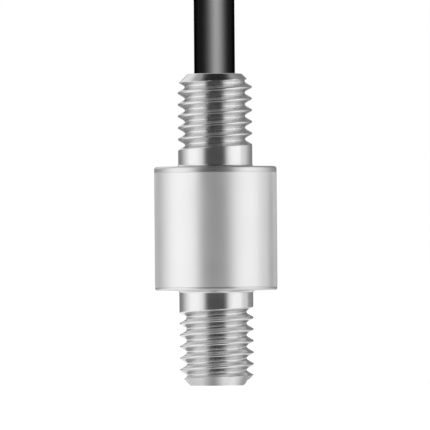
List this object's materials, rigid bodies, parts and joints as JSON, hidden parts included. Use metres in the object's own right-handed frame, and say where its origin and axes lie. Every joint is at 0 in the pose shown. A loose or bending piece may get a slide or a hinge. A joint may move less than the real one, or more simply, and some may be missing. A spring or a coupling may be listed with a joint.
{
  "type": "inline load cell",
  "caption": "Miniature inline load cell: a short stainless cylinder between two threaded studs, with a round signal cable leaving along the axis through the hollow upper stud.",
  "frame": {"origin": "centre of the lower stud's end face", "axes": "+Z along the load axis from the lower stud to the upper stud and its cable, +X to the right as seen in the picture, +Y away from the viewer"},
  "size_m": [0.1092, 0.0426, 0.0711],
  "materials": {
    "polished_steel": "turned and polished",
    "satin_steel": "satin",
    "black_jacket": "smooth, slightly glossy",
    "black_potting": "cast resin",
    "tinned_copper": "tinned",
    "enamelled_copper": "enamelled",
    "solder": "bright solder",
    "gauge_film": "polyimide film with foil",
    "ring_board": "coated board",
    "chip_ceramic": "coated ceramic",
    "red_insulation": "smooth",
    "black_insulation": "smooth",
    "green_insulation": "smooth",
    "white_insulation": "smooth",
    "clear_sleeving": "smooth",
    "shrink_sleeve": "matt",
    "nylon_tie": "matt"
  },
  "bodies": {
    "root": {"load_element": "polished_steel", "outer_sleeve": "satin_steel", "axial_gauge_front": "gauge_film", "axial_gauge_back": "gauge_film", "transverse_gauge_left": "gauge_film", "transverse_gauge_right": "gauge_film", "terminal_ring": "ring_board", "bridge_wires": "enamelled_copper", "solder_joints": "solder", "zero_resistor": "chip_ceramic", "span_resistor": "chip_ceramic", "conductor_red": "red_insulation", "conductor_black": "black_insulation", "conductor_green": "green_insulation", "conductor_white": "white_insulation", "cable_braid_end": "tinned_copper", "cable_jacket_end": "black_jacket", "cable_potting": "black_potting", "cable_lead": "black_jacket", "cable_hank": "black_jacket", "front_tie": "nylon_tie", "back_tie": "nylon_tie", "cable_tail": "black_jacket", "end_sleeve": "shrink_sleeve", "lead_red": "red_insulation", "lead_black": "black_insulation", "lead_green": "green_insulation", "lead_white": "white_insulation", "lead_shield": "clear_sleeving"}
  },
  "joints": []
}
